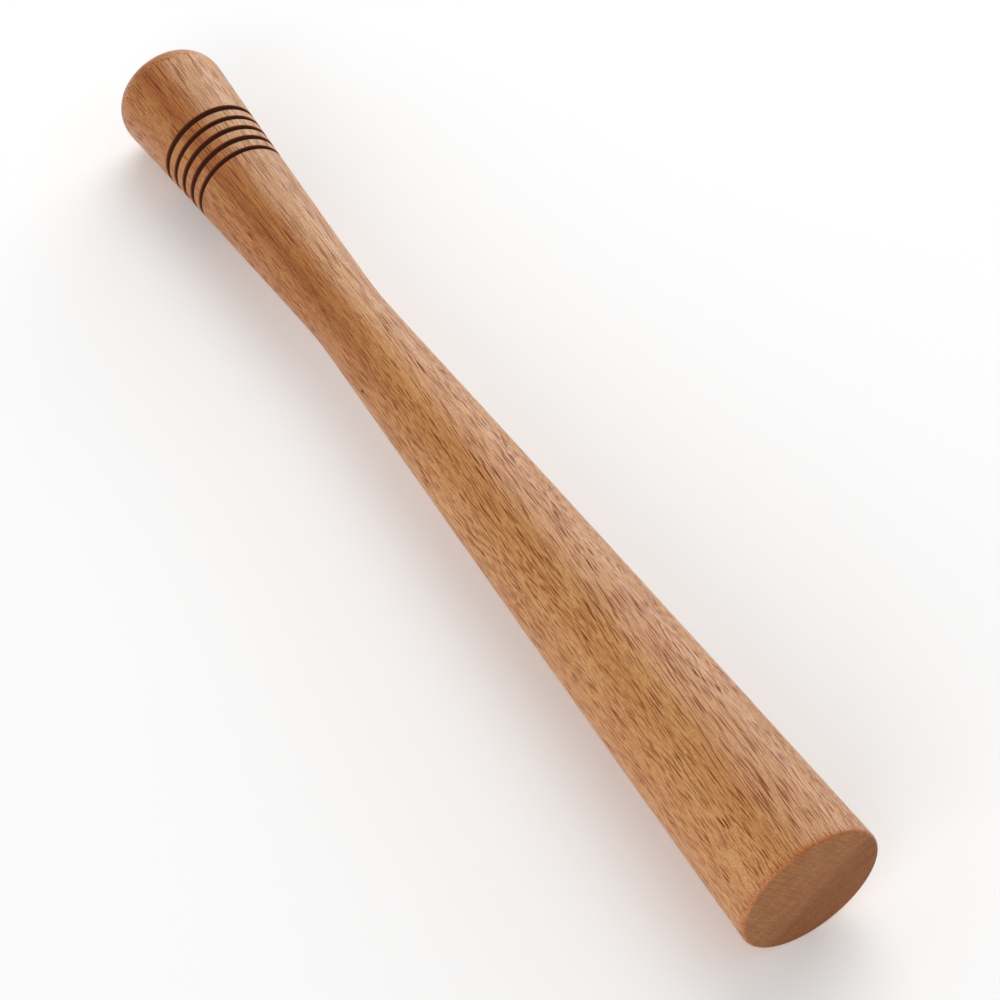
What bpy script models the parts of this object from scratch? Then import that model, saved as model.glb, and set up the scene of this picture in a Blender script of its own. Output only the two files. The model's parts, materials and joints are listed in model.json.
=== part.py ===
"""Meat mallet of the one-piece club form: a single turned length of hardwood.

The body is one solid of revolution. From its flat striking face it tapers to a slim waist, flares
again into a hand-sized grip and ends in a rounded butt. Five narrow burnt grooves ring the grip.

Frame: metres, +Z up. The mallet lies on its side on the plane z = 0, as a round bar lies on a bench,
touching it with the striking rim and with the fullest part of the grip. The two radii differ, so the
turning axis climbs slightly towards the striking face, which looks along +X. The origin is the middle
of the footprint.
"""

import math

import bpy

# ---- driving dimensions -------------------------------------------------------------------------
LENGTH = 0.3068            # striking face to butt, along the turning axis
FACE_RADIUS = 0.01875      # the thick end, where the long taper meets the striking face
WAIST_RADIUS = 0.00974     # where the two tapers would cross without the blend
GRIP_RADIUS = 0.01519      # at the shoulder of the butt
WAIST_FROM_FACE = 0.2059   # the waist's distance from the striking face
BODY_BOW = 0.00018         # how far the long taper swells beyond a straight cone, at its middle
GRIP_SAG = 0.00016         # how far the grip's flare hollows below a straight cone, at its middle
WAIST_BLEND = 0.00021      # how far the blend lifts the waist clear of the crossing point
RIM_ROUND = 0.0010         # rounding between the side and the striking face

BUTT_ROUND_LENGTH = 0.00615    # the butt's rounding, measured along the axis
BUTT_FLAT_RADIUS = 0.01116     # the small flat left in the middle of the butt

GROOVE_PITCH = 0.00410
GROOVE_WIDTHS = (0.00155, 0.00175, 0.00168, 0.00155, 0.00185)    # turned by hand, from the waist on
GROOVE_DEPTH = 0.00080
GROOVE_ROUNDNESS = 1.6         # 1 is a V with straight walls, and more is a rounder bottom
FIRST_GROOVE_FROM_FACE = 0.26225

# ---- mesh fineness ------------------------------------------------------------------------------
SIDES = 48                 # a multiple of four, so that the box is the same across and upwards
TAPER_STATIONS = 22        # rings along the long taper and the waist
SHOULDER_STATIONS = 3      # rings between the last groove and the butt's rounding
RIM_STEPS = 4
BUTT_STEPS = 8
TILT_PASSES = 4            # passes that settle the resting tilt

SHOULDER_FROM_FACE = LENGTH - BUTT_ROUND_LENGTH
SIDE_FLAT = math.cos(math.pi / SIDES)    # a flat side's distance from the axis, per unit of radius


# ---- the turned profile -------------------------------------------------------------------------
def long_taper(distance):
    """Radius of the taper that runs from the striking face to the waist."""
    t = distance / WAIST_FROM_FACE
    straight = FACE_RADIUS + (WAIST_RADIUS - FACE_RADIUS) * t
    return straight + 4 * BODY_BOW * t * (1 - t)


def grip_flare(distance):
    """Radius of the flare that runs from the waist to the shoulder of the butt."""
    t = (distance - WAIST_FROM_FACE) / (SHOULDER_FROM_FACE - WAIST_FROM_FACE)
    straight = WAIST_RADIUS + (GRIP_RADIUS - WAIST_RADIUS) * t
    return straight - 4 * GRIP_SAG * t * (1 - t)


def side_radius(distance):
    """Radius of the smooth side: the larger of the two tapers, blended where they cross."""
    taper = long_taper(distance)
    flare = grip_flare(distance)
    return (taper + flare) / 2 + math.hypot((taper - flare) / 2, WAIST_BLEND)


def side_slope(distance, step=0.0001):
    """Growth of the radius per metre along the side, away from the striking face."""
    return (side_radius(distance + step) - side_radius(distance - step)) / (2 * step)


def rim_points():
    """The quarter round from the striking face to the side, with the face's centre first."""
    points = [(0.0, 0.0)]
    corner = side_radius(RIM_ROUND)
    for step in range(RIM_STEPS + 1):
        angle = math.pi / 2 * step / RIM_STEPS
        radius = corner - RIM_ROUND * (1 - math.sin(angle))
        points.append((radius, RIM_ROUND * (1 - math.cos(angle))))
    return points


def groove_points(centre, width):
    """One burnt groove: two sharp edges, sloping walls and a round bottom."""
    points = []
    for across in (-1.0, -0.5, 0.0, 0.5, 1.0):
        distance = centre + across * width / 2
        depth = GROOVE_DEPTH * (1 - abs(across) ** GROOVE_ROUNDNESS)
        points.append((side_radius(distance) - depth, distance))
    return points


def side_points():
    """The side from the rim to the butt, with the grooves cut into the grip."""
    first_edge = FIRST_GROOVE_FROM_FACE - GROOVE_WIDTHS[0] / 2
    last_centre = FIRST_GROOVE_FROM_FACE + (len(GROOVE_WIDTHS) - 1) * GROOVE_PITCH
    last_edge = last_centre + GROOVE_WIDTHS[-1] / 2
    points = []
    for station in range(1, TAPER_STATIONS):
        distance = RIM_ROUND + (first_edge - RIM_ROUND) * station / TAPER_STATIONS
        points.append((side_radius(distance), distance))
    for groove, width in enumerate(GROOVE_WIDTHS):
        points += groove_points(FIRST_GROOVE_FROM_FACE + groove * GROOVE_PITCH, width)
    for station in range(1, SHOULDER_STATIONS + 1):
        distance = last_edge + (SHOULDER_FROM_FACE - last_edge) * station / (SHOULDER_STATIONS + 1)
        points.append((side_radius(distance), distance))
    return points


def butt_points():
    """An elliptical quarter round that leaves the flare in its own direction, then the centre."""
    slope = side_slope(SHOULDER_FROM_FACE)
    nominal_drop = side_radius(SHOULDER_FROM_FACE) - BUTT_FLAT_RADIUS
    start = -math.atan(slope * BUTT_ROUND_LENGTH / nominal_drop)
    start_distance = SHOULDER_FROM_FACE + BUTT_ROUND_LENGTH * math.sin(start)
    drop = (side_radius(start_distance) - BUTT_FLAT_RADIUS) / math.cos(start)
    points = []
    for step in range(BUTT_STEPS + 1):
        angle = start + (math.pi / 2 - start) * step / BUTT_STEPS
        radius = BUTT_FLAT_RADIUS + drop * math.cos(angle)
        points.append((radius, SHOULDER_FROM_FACE + BUTT_ROUND_LENGTH * math.sin(angle)))
    points.append((0.0, LENGTH))
    return points


def turned_profile():
    """(radius, distance from the striking face) pairs, from the face's centre to the butt's."""
    return rim_points() + side_points() + butt_points()


# ---- how the mallet lies ------------------------------------------------------------------------
def resting_pose(profile):
    """Tilt of the axis, and the place of the face's centre, with both ends on the plane z = 0."""
    thick_half = [point for point in profile if point[1] < LENGTH / 2]
    grip_half = [point for point in profile if point[1] >= LENGTH / 2]
    tilt = 0.0
    for _ in range(TILT_PASSES):
        def reach(point, tilt=tilt):
            radius, distance = point
            return radius * SIDE_FLAT * math.cos(tilt) + distance * math.sin(tilt)
        rim_radius, rim_distance = max(thick_half, key=reach)
        grip_radius, grip_distance = max(grip_half, key=reach)
        rise = SIDE_FLAT * (rim_radius - grip_radius)
        tilt = math.atan(rise / (grip_distance - rim_distance))
    height = max(r * SIDE_FLAT * math.cos(tilt) + d * math.sin(tilt) for r, d in profile)
    front = max(r * SIDE_FLAT * math.sin(tilt) - d * math.cos(tilt) for r, d in profile)
    back = min(-r * SIDE_FLAT * math.sin(tilt) - d * math.cos(tilt) for r, d in profile)
    return tilt, (-(front + back) / 2, 0.0, height)


# ---- building -----------------------------------------------------------------------------------
def clear_scene():
    for item in list(bpy.data.objects):
        bpy.data.objects.remove(item, do_unlink=True)


def oiled_hardwood():
    material = bpy.data.materials.new("oiled_hardwood")
    material.use_nodes = True
    shader = material.node_tree.nodes["Principled BSDF"]
    shader.inputs["Base Color"].default_value = (0.47, 0.23, 0.11, 1.0)
    shader.inputs["Roughness"].default_value = 0.45
    shader.inputs["Metallic"].default_value = 0.0
    material.diffuse_color = (0.47, 0.23, 0.11, 1.0)
    return material


def lying_frame(tilt, place):
    """An empty at the face's centre whose +Z runs along the turning axis, out of the face."""
    frame = bpy.data.objects.new("lying_frame", None)
    bpy.context.collection.objects.link(frame)
    frame.location = place
    frame.rotation_euler = (0.0, math.pi / 2 - tilt, 0.0)
    return frame


def turned_body(profile, frame):
    """The profile spun round the axis; half a step of spin lays a flat side on the bench."""
    points = [(radius, 0.0, -distance) for radius, distance in profile]
    edges = [(index, index + 1) for index in range(len(points) - 1)]
    mesh = bpy.data.meshes.new("mallet_body")
    mesh.from_pydata(points, edges, [])
    body = bpy.data.objects.new("mallet_body", mesh)
    bpy.context.collection.objects.link(body)
    body.parent = frame
    body.rotation_euler = (0.0, 0.0, math.pi / SIDES)

    spin = body.modifiers.new("lathe", "SCREW")
    spin.axis = "Z"
    spin.angle = 2 * math.pi
    spin.steps = SIDES
    spin.render_steps = SIDES
    spin.use_merge_vertices = True
    spin.merge_threshold = 0.00001
    spin.use_smooth_shade = True

    body.data.materials.append(oiled_hardwood())
    return body


def main():
    clear_scene()
    profile = turned_profile()
    tilt, place = resting_pose(profile)
    turned_body(profile, lying_frame(tilt, place))


main()
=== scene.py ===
"""Looks of the turned hardwood mallet: a fine lathe surface, oiled wood, burnt grooves, studio light."""

import json
import math
from collections import namedtuple

import bpy
from mathutils import Matrix, Vector


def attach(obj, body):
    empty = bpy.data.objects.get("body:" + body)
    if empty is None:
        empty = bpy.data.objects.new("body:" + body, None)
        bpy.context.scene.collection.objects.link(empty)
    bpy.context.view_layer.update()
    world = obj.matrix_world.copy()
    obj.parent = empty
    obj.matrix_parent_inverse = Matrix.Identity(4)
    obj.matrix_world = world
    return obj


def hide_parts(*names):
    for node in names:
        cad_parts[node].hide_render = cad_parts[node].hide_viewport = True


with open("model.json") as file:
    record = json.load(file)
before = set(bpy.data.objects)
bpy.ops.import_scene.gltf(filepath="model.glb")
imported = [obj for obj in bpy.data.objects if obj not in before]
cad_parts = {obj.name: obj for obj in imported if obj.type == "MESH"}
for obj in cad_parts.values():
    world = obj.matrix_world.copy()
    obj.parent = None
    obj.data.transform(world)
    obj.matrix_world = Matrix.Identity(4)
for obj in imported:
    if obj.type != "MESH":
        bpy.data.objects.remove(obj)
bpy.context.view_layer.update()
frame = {"record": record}

MM = 0.001

# ---- the turned form, as the CAD body has it (metres from the striking face, along the axis) ------
FACE_RADIUS = 18.75 * MM
WAIST_RADIUS = 9.74 * MM
GRIP_RADIUS = 15.19 * MM
WAIST_FROM_FACE = 205.9 * MM
BODY_BOW = 0.18 * MM
GRIP_SAG = 0.16 * MM
WAIST_BLEND = 0.21 * MM
RIM_ROUND = 1.0 * MM
BUTT_ROUND_LENGTH = 6.15 * MM
BUTT_FLAT_RADIUS = 11.16 * MM
GROOVE_PITCH = 4.10 * MM
GROOVE_WIDTHS = (1.55 * MM, 1.75 * MM, 1.68 * MM, 1.55 * MM, 1.85 * MM)
GROOVE_DEPTH = 0.80 * MM
GROOVE_ROUNDNESS = 1.6     # 1 is a V with straight walls, and more is a rounder bottom
FIRST_GROOVE_FROM_FACE = 262.25 * MM

# ---- fineness of the visible surface ---------------------------------------------------------------
SIDES = 256
RING_SPACING = 1.6 * MM
RIM_STEPS = 10
BUTT_STEPS = 28
GROOVE_STEPS = 14
LIP_STATIONS = (0.08 * MM, 0.18 * MM, 0.32 * MM, 0.60 * MM)    # extra rings outside each lip

# ---- the wood's fibres: X runs from the striking face, Y sideways and Z outwards -----------------------
THICK_END_LEAN = -0.056    # sideways drift of the fibres per metre towards the butt, thick half
GRIP_LEAN = -0.012         # the same in the grip
LEAN_CHANGES_AT = 185.0 * MM
LEAN_CHANGE_WIDTH = 25.0 * MM
CUT_SLOPE = -0.022         # the fibres' slope against the upper side's surface
RING_LEAN = math.radians(17.0)    # of the growth rings' outward direction, from Z towards Y
SLOW_WANDER = ((0.010, 0.03, 0.03), 1.1)    # frequency per millimetre, and the amount in millimetres
QUICK_WANDER = ((0.05, 0.15, 0.15), 0.08)

# ---- the body colour: colours on the 0-255 display scale, frequencies per millimetre along X, Y and Z ---
# A layer's colour comes in while its noise goes from low to high.
BODY_WOOD = (201, 145, 84)
Figure = namedtuple("Figure", "frequency detail roughness low high strength color")
STREAKS = Figure((0.010, 0.12, 0.42), 3.0, 0.55, 0.32, 0.68, 1.00, (211, 161, 99))
MOTTLE = Figure((0.10, 0.42, 0.55), 3.0, 0.60, 0.46, 0.70, 0.18, (176, 98, 50))
FIBRES = Figure((0.45, 4.5, 4.5), 3.0, 0.70, 0.38, 0.72, 0.37, (174, 90, 38))
GRIT = Figure((1.7, 1.9, 1.9), 3.0, 0.75, 0.38, 0.62, 0.52, (174, 98, 42))

# ---- where the colour changes, in millimetres, and the tints that multiply it there ---------------------
GRIP_BEGINS = (150.0, 215.0)
GRIP_TINT = (0.91, 0.91, 0.89, 1.0)
DARK_HALF_BEGINS = (5.8, 10.2)    # sideways
DARK_HALF_TINT = (0.89, 0.76, 0.60, 1.0)
STREAK_ACROSS = 13.7              # where the grip's dark streak runs, sideways
STREAK_CORE = 0.5
STREAK_HALF_WIDTH = 3.2
STREAK_RISES = (0.0, 8.0)         # outwards: there is no streak on the underside
STREAK_TINT = (0.78, 0.66, 0.60, 1.0)
PALE_STRETCH = (130.0, 175.0, 215.0, 250.0)    # at the waist: rises, and falls again
PALE_BAND = (2.0, 5.0, 7.2, 9.8)               # sideways, beside the darker half
PALE_TINT = (1.11, 1.16, 1.19, 1.0)

# ---- vessels: dark lines where the surface cuts long thin pores ------------------------------------------
VesselLayer = namedtuple("VesselLayer", "length spacing softness shift")    # millimetres but for softness
SHORT_VESSELS = (VesselLayer(10.0, 0.27, 0.03, (0.0, 0.0, 0.0)),
                 VesselLayer(12.5, 0.30, 0.03, (3.1, 7.7, 5.4)))
LONG_VESSELS = VesselLayer(28.0, 0.27, 0.035, (6.3, 21.1, 14.9))
CROWD_FREQUENCY = (0.07, 0.20, 0.32)
CROWD_RANGE = (0.34, 0.62)        # noise values of a sparse and of a crowded place
VESSEL_REACH = (0.26, 0.33)       # half a line's width where sparse and where crowded, in spacings
PALE_REACH_LOSS = 0.03
GRIP_REACH_GAIN = 0.04
LINES_LENGTHEN = (180.0, 235.0)   # where the grip's longer lines take over
LONG_IN_BODY = 0.45               # strength of the long lines before that
SHORT_LOST_IN_GRIP = 0.75
VESSEL_COLOR = (114, 36, 8)
VESSEL_STRENGTH = 0.95
VESSEL_CHANCE = (0.20, 0.58)      # random values of the faintest and of the darkest lines
VESSEL_DARKNESS = (0.42, 1.0)     # and how dark those are
VESSELS_FADE = (0.02, 0.35)       # end grain over which the lines fade to the next value
VESSELS_ON_END_GRAIN = 0.2

# ---- end grain (0 along the side, 1 on the flat ends), the rims' painted highlight and the pin knot ------
END_GRAIN_SHOWS = (0.30, 0.60)
RAY_FREQUENCY = (1.0, 2.6, 0.10)
RAY_ROUGHNESS = 0.6
RAY_RANGE = (0.38, 0.62)          # noise values of a dark and of a light ray
# These tints darken the end grain: partly painted shade on the ends turned from the light, partly the end
# grain's own darker tone.
DARK_RAY_TINT = (0.55, 0.53, 0.71, 1.0)
LIGHT_RAY_TINT = (0.69, 0.67, 0.89, 1.0)
INNER_RINGS = (2.5, -7.0)         # millimetres along the rings' outward direction
INNER_TINT = (0.48, 0.41, 0.52, 1.0)
INNER_STRENGTH = 0.85
# An orange painted highlight on the rounded rims and along the side next to the striking face.
RIM_HIGHLIGHT_COLOR = (166, 82, 32)
RIM_RISES = (0.03, 0.18)          # end grain over which the rim's painted highlight fades in
RIM_FADES = (0.62, 0.35)          # and out again: none, and all of it
RIM_MOTTLE = (0.30, 0.65)         # mottle's noise values where the painted highlight is weakest and strongest
RIM_STRENGTH = (0.35, 0.85)
RIM_BESIDE_FACE = (2.4, 0.9)      # the painted highlight fades in over these distances from the face
RIM_BESIDE_FACE_STRENGTH = 0.6
PIN_KNOT = (181.0, 9.1, 6.0)      # millimetres from the striking face, sideways and outwards
PIN_KNOT_EDGE = (0.72, 0.30)      # millimetres from its middle
PIN_KNOT_COLOR = (84, 44, 24)
PIN_KNOT_STRENGTH = 0.85

# ---- burnt grooves ---------------------------------------------------------------------------------------
SCORCHED_LIP = 0.30               # char on a groove's lip, where 1 is the char of its bottom
SCORCH_REACH = 0.26 * MM          # how far the scorch fades out beyond the lip on the butt's side
NEAR_SCORCH_REACH = 0.08 * MM     # and on the face's side
FULL_CHAR_DEPTH = 0.65            # part of the groove's depth from which the char is full
BARELY_BURNT = 0.01               # with more char than this, a slope is a groove's and not end grain
ON_THE_LIP = 1e-7                 # metres outside a lip that are only a rounding error
RAGGED = ((2.2, 2.2, 2.2), 3.0, 0.65)    # frequency, detail and roughness of the borders' noise
RAGGEDNESS = 0.2
RAGGED_FROM = (0.0, 0.15)         # char over which the raggedness sets in
SCORCH_RANGE = (0.02, 0.40)       # char of unburnt wood and of scorched wood
SCORCH_COLOR = (126, 64, 26)
CHAR_RANGE = (0.30, 0.80)         # char of scorched wood and of charred wood
CHAR_COLOR = (60, 28, 13)

# ---- the surface's finish: the first value for oiled wood, the second for open pores and char ----------
ROUGHNESS = (0.33, 0.75)
SPECULAR_LEVEL = (0.50, 0.12)
DULL_CHAR = (0.1, 0.4)            # char that is still glossy, and char that is quite dull
RELIEF_HEIGHT = 0.04 * MM
RELIEF_STRENGTH = 0.4
FIBRE_RELIEF = 0.35
WOOD_IOR = 1.5

# ---- view and light ----------------------------------------------------------------------------------
CAMERA_AZIMUTH = math.radians(58.10)
CAMERA_ELEVATION = math.radians(51.25)
CAMERA_DISTANCE = 0.83307
CAMERA_LENS = 120.44
SENSOR_WIDTH = 36.0
CLIP_RANGE = (0.05, 50.0)
AIM_HEIGHT = 18.0 * MM
AIM_RIGHT = 11.08 * MM      # the aim point, measured from that height over the origin
AIM_UP = -13.26 * MM

LIGHT_DISTANCE = 1.8
Softbox = namedtuple("Softbox", "name direction width height radiance")
SOFTBOXES = (
    Softbox("back_softbox", (-0.526, 0.662, 0.534), 1.5, 1.5, 1.15),
    Softbox("back_low_softbox", (-0.50, 0.85, 0.20), 1.4, 0.7, 2.6),
    Softbox("back_top_softbox", (-0.54, 0.33, 0.77), 1.2, 1.1, 1.95),
    Softbox("front_left_softbox", (0.55, -0.75, 0.38), 1.5, 1.2, 2.2),
    Softbox("left_low_softbox", (-0.20, -0.95, 0.20), 1.5, 0.7, 0.88),
)
WORLD_STRENGTH = 0.46
FLOOR_HALF_WIDTH = 4.0
FLOOR_LEVEL = -0.05 * MM
FLOOR_SHADE = 0.96
FLOOR_GLOW = 0.10
FLOOR_ROUGHNESS = 0.9


# ---- where the CAD says that the mallet lies ---------------------------------------------------------
def mount(name):
    return next(item for item in frame["record"]["mounts"] if item["name"] == name)


FACE_CENTRE = Vector(mount("striking_face")["pos_m"])
BUTT_CENTRE = Vector(mount("butt_flat")["pos_m"])
INWARD = (BUTT_CENTRE - FACE_CENTRE).normalized()    # along the turning axis, away from the face
LENGTH = (BUTT_CENTRE - FACE_CENTRE).length
ACROSS = Vector((0.0, 1.0, 0.0))
UPWARD = ACROSS.cross(INWARD)
if UPWARD.z < 0:
    UPWARD = -UPWARD
SHOULDER_FROM_FACE = LENGTH - BUTT_ROUND_LENGTH


def side_radius(distance):
    """Radius of the smooth side: two slightly bowed tapers, blended where they cross at the waist."""
    t = distance / WAIST_FROM_FACE
    taper = FACE_RADIUS + (WAIST_RADIUS - FACE_RADIUS) * t + 4 * BODY_BOW * t * (1 - t)
    u = (distance - WAIST_FROM_FACE) / (SHOULDER_FROM_FACE - WAIST_FROM_FACE)
    flare = WAIST_RADIUS + (GRIP_RADIUS - WAIST_RADIUS) * u - 4 * GRIP_SAG * u * (1 - u)
    return (taper + flare) / 2 + math.hypot((taper - flare) / 2, WAIST_BLEND)


def side_slope(distance, step=0.1 * MM):
    return (side_radius(distance + step) - side_radius(distance - step)) / (2 * step)


def even_stations(start, end):
    """Distances between start and end, both left out, about one ring spacing apart."""
    count = max(1, round((end - start) / RING_SPACING))
    return [start + (end - start) * step / count for step in range(1, count)]


def rim_points():
    corner = side_radius(RIM_ROUND)
    points = [((corner - RIM_ROUND) * part, 0.0) for part in (0.0, 0.5)]
    for step in range(RIM_STEPS + 1):
        angle = math.pi / 2 * step / RIM_STEPS
        radius = corner - RIM_ROUND * (1 - math.sin(angle))
        points.append((radius, RIM_ROUND * (1 - math.cos(angle))))
    return points


def groove_points(centre, width):
    """A burnt groove with sloping walls and a round bottom."""
    points = []
    for step in range(GROOVE_STEPS + 1):
        across = 2 * step / GROOVE_STEPS - 1
        distance = centre + across * width / 2
        depth = GROOVE_DEPTH * (1 - abs(across) ** GROOVE_ROUNDNESS)
        points.append((side_radius(distance) - depth, distance))
    return points


def side_points():
    outermost = LIP_STATIONS[-1]
    distances = []
    grooves = []
    last = RIM_ROUND
    for groove, width in enumerate(GROOVE_WIDTHS):
        centre = FIRST_GROOVE_FROM_FACE + groove * GROOVE_PITCH
        near_lip = centre - width / 2
        far_lip = centre + width / 2
        distances += even_stations(last, near_lip - outermost)
        distances += [near_lip - outside for outside in LIP_STATIONS]
        distances += [far_lip + outside for outside in LIP_STATIONS]
        grooves += groove_points(centre, width)
        last = far_lip + outermost
    distances += even_stations(last, SHOULDER_FROM_FACE)
    smooth = [(side_radius(distance), distance) for distance in distances]
    return sorted(smooth + grooves, key=lambda point: point[1])


def butt_points():
    """An elliptical quarter round that leaves the flare in its own direction, then the flat."""
    slope = side_slope(SHOULDER_FROM_FACE)
    nominal_drop = side_radius(SHOULDER_FROM_FACE) - BUTT_FLAT_RADIUS
    start = -math.atan(slope * BUTT_ROUND_LENGTH / nominal_drop)
    start_distance = SHOULDER_FROM_FACE + BUTT_ROUND_LENGTH * math.sin(start)
    drop = (side_radius(start_distance) - BUTT_FLAT_RADIUS) / math.cos(start)
    points = []
    for step in range(BUTT_STEPS + 1):
        angle = start + (math.pi / 2 - start) * step / BUTT_STEPS
        radius = BUTT_FLAT_RADIUS + drop * math.cos(angle)
        points.append((radius, SHOULDER_FROM_FACE + BUTT_ROUND_LENGTH * math.sin(angle)))
    points += [(BUTT_FLAT_RADIUS * part, LENGTH) for part in (0.5, 0.0)]
    return points


def char_at(radius, distance):
    """How burnt the wood is: 1 in a groove's bottom, less towards its lips, and 0 on the plain side."""
    centres = [FIRST_GROOVE_FROM_FACE + n * GROOVE_PITCH for n in range(len(GROOVE_WIDTHS))]
    outside, groove = min((abs(distance - centre) - width / 2, n)
                          for n, (centre, width) in enumerate(zip(centres, GROOVE_WIDTHS)))
    if outside > ON_THE_LIP:
        reach = SCORCH_REACH if distance > centres[groove] else NEAR_SCORCH_REACH
        return SCORCHED_LIP * math.exp(-outside / reach)
    depth = (side_radius(distance) - radius) / GROOVE_DEPTH
    return SCORCHED_LIP + (1 - SCORCHED_LIP) * min(1.0, depth / FULL_CHAR_DEPTH)


def fibre_drift(distance):
    """How far a fibre that leaves the striking face has moved, in millimetres: sideways and outwards."""
    past = distance - LEAN_CHANGES_AT
    bend = (past + math.hypot(past, LEAN_CHANGE_WIDTH)) / 2
    sideways = THICK_END_LEAN * distance + (GRIP_LEAN - THICK_END_LEAN) * bend
    outwards = side_radius(distance) - FACE_RADIUS + CUT_SLOPE * distance
    return sideways / MM, outwards / MM


def end_grain_at(ring, rings):
    """How squarely the surface cuts the fibres: 0 along the side, 1 on the striking face and the butt."""
    before = rings[max(ring - 1, 0)]
    after = rings[min(ring + 1, len(rings) - 1)]
    along = abs(after[1] - before[1])
    return 1 - along / math.hypot(along, after[0] - before[0])


def turned_mesh():
    """Spins the profile round the turning axis, with its vertices straight in the row's frame."""
    profile = rim_points() + side_points() + butt_points()
    rings = profile[1:-1]
    vertices = [FACE_CENTRE]
    char = [0.0]
    end_grain = [1.0]
    drift = [fibre_drift(0.0)]
    for ring, (radius, distance) in enumerate(rings):
        centre = FACE_CENTRE + INWARD * distance
        burnt = char_at(radius, distance)
        squareness = 0.0 if burnt > BARELY_BURNT else end_grain_at(ring, rings)
        for side in range(SIDES):
            angle = 2 * math.pi * side / SIDES
            spoke = ACROSS * math.cos(angle) + UPWARD * math.sin(angle)
            vertices.append(centre + spoke * radius)
            char.append(burnt)
            end_grain.append(squareness)
            drift.append(fibre_drift(distance))
    vertices.append(BUTT_CENTRE)
    char.append(0.0)
    end_grain.append(1.0)
    drift.append(fibre_drift(LENGTH))
    last = len(vertices) - 1
    end = last - SIDES
    faces = []
    for side in range(SIDES):
        after = (side + 1) % SIDES
        faces.append((0, 1 + side, 1 + after))
        faces.append((last, end + after, end + side))
        for ring in range(len(rings) - 1):
            near = 1 + ring * SIDES
            far = near + SIDES
            faces.append((near + side, far + side, far + after, near + after))
    mesh = bpy.data.meshes.new("mallet_wood")
    mesh.from_pydata(vertices, [], faces)
    mesh.validate()
    mesh.update()
    mesh.shade_smooth()
    sideways, outwards = zip(*drift)
    layers = (("char", char), ("end_grain", end_grain), ("sideways", sideways), ("outwards", outwards))
    for name, values in layers:
        mesh.attributes.new(name, "FLOAT", "POINT").data.foreach_set("value", values)
    return mesh


# ---- materials ---------------------------------------------------------------------------------------
class Nodes:
    """Short calls for building one material's node tree."""

    def __init__(self, name):
        self.material = bpy.data.materials.new(name)
        self.material.use_nodes = True
        self.tree = self.material.node_tree
        self.shader = self.tree.nodes["Principled BSDF"]

    def put(self, socket, value):
        if isinstance(value, bpy.types.NodeSocket):
            self.tree.links.new(value, socket)
        elif value is not None:
            socket.default_value = value

    def math(self, operation, a, b=None):
        node = self.tree.nodes.new("ShaderNodeMath")
        node.operation = operation
        self.put(node.inputs[0], a)
        self.put(node.inputs[1], b)
        return node.outputs[0]

    def plus(self, a, b):
        return self.math("ADD", a, b)

    def minus(self, a, b):
        return self.math("SUBTRACT", a, b)

    def times(self, a, b):
        return self.math("MULTIPLY", a, b)

    def largest(self, first, *others):
        for other in others:
            first = self.math("MAXIMUM", first, other)
        return first

    def scaled(self, vector, scale):
        node = self.tree.nodes.new("ShaderNodeMapping")
        self.put(node.inputs["Vector"], vector)
        node.inputs["Scale"].default_value = scale
        return node.outputs[0]

    def noise(self, vector, frequency, detail=2.0, roughness=0.5, output="Fac"):
        node = self.tree.nodes.new("ShaderNodeTexNoise")
        self.put(node.inputs["Vector"], self.scaled(vector, frequency))
        node.inputs["Scale"].default_value = 1.0
        node.inputs["Detail"].default_value = detail
        node.inputs["Roughness"].default_value = roughness
        return node.outputs[output]

    def cells(self, vector):
        """Distance to the nearest of a cloud of random points, and a random value of that point."""
        node = self.tree.nodes.new("ShaderNodeTexVoronoi")
        self.put(node.inputs["Vector"], vector)
        node.inputs["Scale"].default_value = 1.0
        return node.outputs["Distance"], node.outputs["Color"]

    def ramp(self, value, from_low, from_high, to_low=0.0, to_high=1.0):
        """A smooth change from to_low to to_high, while value goes from from_low to from_high."""
        node = self.tree.nodes.new("ShaderNodeMapRange")
        node.interpolation_type = "SMOOTHSTEP"
        for socket, item in zip(node.inputs, (value, from_low, from_high, to_low, to_high)):
            self.put(socket, item)
        return node.outputs[0]

    def window(self, value, rises, full, still_full, gone):
        """0, then 1 from full to still_full, then 0 again, with smooth changes between."""
        return self.times(self.ramp(value, rises, full), self.ramp(value, gone, still_full))

    def mix(self, factor, a, b, blend="MIX"):
        node = self.tree.nodes.new("ShaderNodeMix")
        node.data_type = "RGBA"
        node.blend_type = blend
        self.put(node.inputs["Factor"], factor)
        self.put(node.inputs["A"], a)
        self.put(node.inputs["B"], b)
        return node.outputs["Result"]

    def tint(self, factor, color, multiplier):
        return self.mix(factor, color, multiplier, "MULTIPLY")

    def split(self, vector):
        node = self.tree.nodes.new("ShaderNodeSeparateXYZ")
        self.put(node.inputs[0], vector)
        return tuple(node.outputs)

    def join(self, x, y, z):
        node = self.tree.nodes.new("ShaderNodeCombineXYZ")
        for socket, value in zip(node.inputs, (x, y, z)):
            self.put(socket, value)
        return node.outputs[0]

    def distance(self, a, b):
        node = self.tree.nodes.new("ShaderNodeVectorMath")
        node.operation = "DISTANCE"
        self.put(node.inputs[0], a)
        self.put(node.inputs[1], b)
        return node.outputs["Value"]

    def moved(self, vector, shift):
        node = self.tree.nodes.new("ShaderNodeVectorMath")
        node.operation = "ADD"
        self.put(node.inputs[0], vector)
        self.put(node.inputs[1], shift)
        return node.outputs[0]

    def attribute(self, name):
        node = self.tree.nodes.new("ShaderNodeAttribute")
        node.attribute_name = name
        return node.outputs["Fac"]

    def bump(self, height, distance, strength):
        node = self.tree.nodes.new("ShaderNodeBump")
        node.inputs["Distance"].default_value = distance
        node.inputs["Strength"].default_value = strength
        self.put(node.inputs["Height"], height)
        return node.outputs[0]


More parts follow.
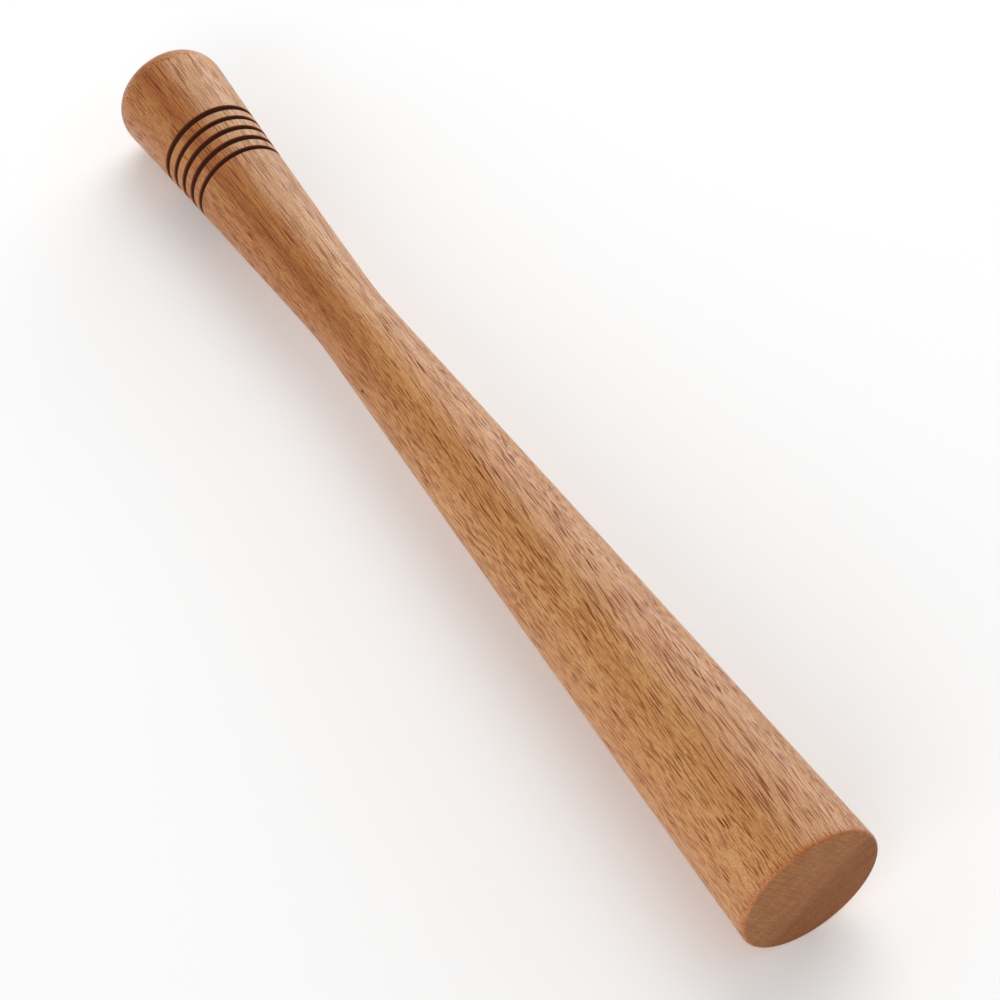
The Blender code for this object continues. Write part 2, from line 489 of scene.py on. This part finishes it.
def rgb(color):
    """A colour given on the 0-255 display scale, as the linear values that shaders take."""
    linear = []
    for value in color:
        part = value / 255
        linear.append(part / 12.92 if part <= 0.04045 else ((part + 0.055) / 1.055) ** 2.4)
    return (*linear, 1.0)


def wood_frame(nodes, outward):
    """Coordinates in millimetres: X from the striking face, Y sideways, Z outwards."""
    turn = Matrix((INWARD, outward.cross(INWARD), outward))
    coordinates = nodes.tree.nodes.new("ShaderNodeTexCoord")
    node = nodes.tree.nodes.new("ShaderNodeMapping")
    nodes.put(node.inputs["Vector"], coordinates.outputs["Object"])
    node.inputs["Location"].default_value = turn @ FACE_CENTRE / -MM
    node.inputs["Scale"].default_value = (1.0 / MM,) * 3
    node.inputs["Rotation"].default_value = turn.to_euler("XYZ")
    return node.outputs[0]


def wander(nodes, vector, frequency, amount):
    """Moves the fibres sideways by up to about a third of amount (mm), at frequency per mm."""
    drift = nodes.noise(vector, frequency, detail=1.0, output="Color")
    centred = nodes.moved(drift, (-0.5, -0.5, -0.5))
    return nodes.moved(vector, nodes.scaled(centred, (0.0, amount, amount)))


class Grain:
    """Coordinates that the wood's figure follows, as sockets, in millimetres."""

    def __init__(self, nodes, outward):
        self.straight = wood_frame(nodes, outward)
        self.x, y, z = nodes.split(self.straight)

        # moved so that a fibre keeps its Y and Z over its whole length
        self.y = nodes.minus(y, nodes.attribute("sideways"))
        self.z = nodes.minus(z, nodes.attribute("outwards"))
        fibres = wander(nodes, nodes.join(self.x, self.y, self.z), *SLOW_WANDER)
        self.fibres = wander(nodes, fibres, *QUICK_WANDER)

        cos, sin = math.cos(RING_LEAN), math.sin(RING_LEAN)
        self.radial = nodes.plus(nodes.times(self.z, cos), nodes.times(self.y, sin))
        self.tangent = nodes.minus(nodes.times(self.y, cos), nodes.times(self.z, sin))
        self.end_grain = nodes.attribute("end_grain")


def figure_noise(nodes, vector, figure):
    return nodes.noise(vector, figure.frequency, figure.detail, figure.roughness)


def body_color(nodes, grain):
    """Slow streaks along the fibres, mottled patches, fine fibres and grit."""
    streaks = figure_noise(nodes, grain.fibres, STREAKS)
    mottle = figure_noise(nodes, grain.fibres, MOTTLE)
    fibres = figure_noise(nodes, grain.fibres, FIBRES)
    grit = figure_noise(nodes, grain.straight, GRIT)
    color = rgb(BODY_WOOD)
    for noise, figure in ((streaks, STREAKS), (mottle, MOTTLE), (fibres, FIBRES), (grit, GRIT)):
        amount = nodes.ramp(noise, figure.low, figure.high, 0.0, figure.strength)
        color = nodes.mix(amount, color, rgb(figure.color))
    return color, mottle, fibres


def grip_tints(nodes, grain, color):
    """The grip's darker half with its brown streak, and the pale band beside it at the waist."""
    grip = nodes.ramp(grain.x, *GRIP_BEGINS)
    color = nodes.tint(grip, color, GRIP_TINT)
    half = nodes.times(nodes.ramp(grain.y, *DARK_HALF_BEGINS), grip)
    color = nodes.tint(half, color, DARK_HALF_TINT)
    from_streak = nodes.math("ABSOLUTE", nodes.minus(nodes.split(grain.fibres)[1], STREAK_ACROSS))
    streak = nodes.minus(1.0, nodes.ramp(from_streak, STREAK_CORE, STREAK_HALF_WIDTH))
    streak = nodes.times(nodes.times(streak, grip), nodes.ramp(grain.z, *STREAK_RISES))
    color = nodes.tint(streak, color, STREAK_TINT)
    pale = nodes.times(nodes.window(grain.x, *PALE_STRETCH), nodes.window(grain.y, *PALE_BAND))
    return nodes.tint(pale, color, PALE_TINT), pale


def vessel_lines(nodes, fibres, layer, reach):
    """Dark pore lines: the cut ends of long thin vessels, each with a strength of its own."""
    moved = nodes.moved(fibres, layer.shift)
    frequency = (1 / layer.length, 1 / layer.spacing, 1 / layer.spacing)
    distance, random = nodes.cells(nodes.scaled(moved, frequency))
    inside = nodes.ramp(nodes.minus(reach, distance), -layer.softness, layer.softness)
    strength = nodes.ramp(random, *VESSEL_CHANCE, *VESSEL_DARKNESS)
    return nodes.times(inside, strength)


def all_vessels(nodes, grain, pale):
    """Crowded in some bands and sparse in others, longer and fainter in the grip."""
    crowd = nodes.noise(grain.fibres, CROWD_FREQUENCY)
    reach = nodes.ramp(crowd, *CROWD_RANGE, *VESSEL_REACH)
    reach = nodes.minus(reach, nodes.times(pale, PALE_REACH_LOSS))
    short = nodes.largest(*(vessel_lines(nodes, grain.fibres, layer, reach) for layer in SHORT_VESSELS))
    lengthened = nodes.ramp(grain.x, *LINES_LENGTHEN)
    long_reach = nodes.plus(reach, nodes.times(lengthened, GRIP_REACH_GAIN))
    long = vessel_lines(nodes, grain.fibres, LONG_VESSELS, long_reach)
    long = nodes.times(long, nodes.ramp(lengthened, 0.0, 1.0, LONG_IN_BODY, 1.0))
    keep_short = nodes.minus(1.0, nodes.times(lengthened, SHORT_LOST_IN_GRIP))
    vessels = nodes.largest(nodes.times(short, keep_short), long)
    return nodes.times(vessels, nodes.ramp(grain.end_grain, *VESSELS_FADE, 1.0, VESSELS_ON_END_GRAIN))


def end_grain_color(nodes, grain, color, mottle):
    """The end grain is darker, partly as painted shade on the ends turned from the light and partly from
    the oil it drinks; fine rays cross its growth bands, and the rims get an orange painted highlight.
    """
    section = nodes.join(0.0, grain.tangent, grain.radial)
    rays = nodes.noise(section, RAY_FREQUENCY, roughness=RAY_ROUGHNESS)
    tint = nodes.mix(nodes.ramp(rays, *RAY_RANGE), DARK_RAY_TINT, LIGHT_RAY_TINT)
    inner = nodes.times(nodes.ramp(grain.radial, *INNER_RINGS), INNER_STRENGTH)
    tint = nodes.mix(inner, tint, INNER_TINT)
    # End grain darkened: partly painted shade, partly its own darker tone.
    cut = nodes.tint(1.0, color, tint)
    color = nodes.mix(nodes.ramp(grain.end_grain, *END_GRAIN_SHOWS), color, cut)
    # Orange painted highlight on the rounded rims and beside the striking face.
    beside_face = nodes.ramp(grain.x, *RIM_BESIDE_FACE, 0.0, RIM_BESIDE_FACE_STRENGTH)
    edge = nodes.largest(nodes.ramp(grain.end_grain, *RIM_RISES), beside_face)
    rim_highlight = nodes.times(edge, nodes.ramp(grain.end_grain, *RIM_FADES))
    rim_highlight = nodes.times(rim_highlight, nodes.ramp(mottle, *RIM_MOTTLE, *RIM_STRENGTH))
    return nodes.mix(rim_highlight, color, rgb(RIM_HIGHLIGHT_COLOR))


def burnt_color(nodes, grain, color, char):
    """The scorched lips and the charred bottoms of the grooves, with ragged borders."""
    ragged = nodes.noise(grain.straight, *RAGGED)
    burnt = nodes.plus(char, nodes.times(nodes.minus(ragged, 0.5), RAGGEDNESS))
    burnt = nodes.times(burnt, nodes.ramp(char, *RAGGED_FROM))
    color = nodes.mix(nodes.ramp(burnt, *SCORCH_RANGE), color, rgb(SCORCH_COLOR))
    return nodes.mix(nodes.ramp(burnt, *CHAR_RANGE), color, rgb(CHAR_COLOR))


def oiled_hardwood(outward):
    nodes = Nodes("oiled_hardwood")
    grain = Grain(nodes, outward)
    char = nodes.attribute("char")

    color, mottle, fibres = body_color(nodes, grain)
    color, pale = grip_tints(nodes, grain, color)
    vessels = all_vessels(nodes, grain, pale)
    color = nodes.mix(nodes.times(vessels, VESSEL_STRENGTH), color, rgb(VESSEL_COLOR))
    color = end_grain_color(nodes, grain, color, mottle)
    pin = nodes.ramp(nodes.distance(grain.straight, PIN_KNOT), *PIN_KNOT_EDGE)
    color = nodes.mix(nodes.times(pin, PIN_KNOT_STRENGTH), color, rgb(PIN_KNOT_COLOR))
    color = burnt_color(nodes, grain, color, char)

    dull = nodes.largest(vessels, grain.end_grain, nodes.ramp(char, *DULL_CHAR), pin)
    height = nodes.minus(nodes.times(fibres, FIBRE_RELIEF), vessels)
    shader = nodes.shader
    nodes.put(shader.inputs["Base Color"], color)
    nodes.put(shader.inputs["Roughness"], nodes.ramp(dull, 0.0, 1.0, *ROUGHNESS))
    nodes.put(shader.inputs["Specular IOR Level"], nodes.ramp(dull, 0.0, 1.0, *SPECULAR_LEVEL))
    nodes.put(shader.inputs["Normal"], nodes.bump(height, RELIEF_HEIGHT, RELIEF_STRENGTH))
    shader.inputs["IOR"].default_value = WOOD_IOR
    return nodes.material


def floor_paper():
    nodes = Nodes("floor_paper")
    nodes.shader.inputs["Base Color"].default_value = (FLOOR_SHADE, FLOOR_SHADE, FLOOR_SHADE, 1.0)
    nodes.shader.inputs["Emission Color"].default_value = (1.0, 1.0, 1.0, 1.0)
    nodes.shader.inputs["Emission Strength"].default_value = FLOOR_GLOW
    nodes.shader.inputs["Roughness"].default_value = FLOOR_ROUGHNESS
    return nodes.material


# ---- stage -------------------------------------------------------------------------------------------
def view_direction():
    """From the camera towards the mallet."""
    return Vector((
        -math.sin(CAMERA_AZIMUTH) * math.cos(CAMERA_ELEVATION),
        math.cos(CAMERA_AZIMUTH) * math.cos(CAMERA_ELEVATION),
        -math.sin(CAMERA_ELEVATION),
    ))


def make_camera():
    forward = view_direction()
    right = Vector((math.cos(CAMERA_AZIMUTH), math.sin(CAMERA_AZIMUTH), 0.0))
    up = right.cross(forward)
    aim = Vector((0.0, 0.0, AIM_HEIGHT)) + right * AIM_RIGHT + up * AIM_UP
    data = bpy.data.cameras.new("photo_view")
    data.lens = CAMERA_LENS
    data.sensor_width = SENSOR_WIDTH
    data.clip_start, data.clip_end = CLIP_RANGE
    camera = bpy.data.objects.new("photo_view", data)
    camera.location = aim - forward * CAMERA_DISTANCE
    camera.rotation_euler = forward.to_track_quat("-Z", "Y").to_euler()
    bpy.context.scene.collection.objects.link(camera)
    bpy.context.scene.camera = camera


def make_softbox(box):
    """A rectangular area light that faces the mallet, as bright as white paper at a radiance of 1."""
    data = bpy.data.lights.new(box.name, "AREA")
    data.shape = "RECTANGLE"
    data.size = box.width
    data.size_y = box.height
    data.energy = box.radiance * math.pi * box.width * box.height
    lamp = bpy.data.objects.new(box.name, data)
    towards = Vector(box.direction).normalized()
    lamp.location = towards * LIGHT_DISTANCE
    lamp.rotation_euler = (-towards).to_track_quat("-Z", "Y").to_euler()
    lamp.visible_camera = False
    bpy.context.scene.collection.objects.link(lamp)


def make_floor():
    mesh = bpy.data.meshes.new("floor")
    corners = [(x * FLOOR_HALF_WIDTH, y * FLOOR_HALF_WIDTH, FLOOR_LEVEL)
               for x, y in ((-1, -1), (1, -1), (1, 1), (-1, 1))]
    mesh.from_pydata(corners, [], [(0, 1, 2, 3)])
    floor = bpy.data.objects.new("floor", mesh)
    mesh.materials.append(floor_paper())
    bpy.context.scene.collection.objects.link(floor)


def make_world():
    world = bpy.data.worlds.new("studio")
    world.use_nodes = True
    background = world.node_tree.nodes["Background"]
    background.inputs["Color"].default_value = (1.0, 1.0, 1.0, 1.0)
    background.inputs["Strength"].default_value = WORLD_STRENGTH
    bpy.context.scene.world = world


def make_mallet():
    forward = view_direction()
    outward = -(forward - INWARD * forward.dot(INWARD)).normalized()
    wood = bpy.data.objects.new("turned_wood", turned_mesh())
    bpy.context.scene.collection.objects.link(wood)
    wood.data.materials.append(oiled_hardwood(outward))
    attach(wood, "root")
    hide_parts("mallet_body")


make_camera()
make_floor()
make_world()
for softbox in SOFTBOXES:
    make_softbox(softbox)
make_mallet()
bpy.context.scene.view_settings.view_transform = "Standard"
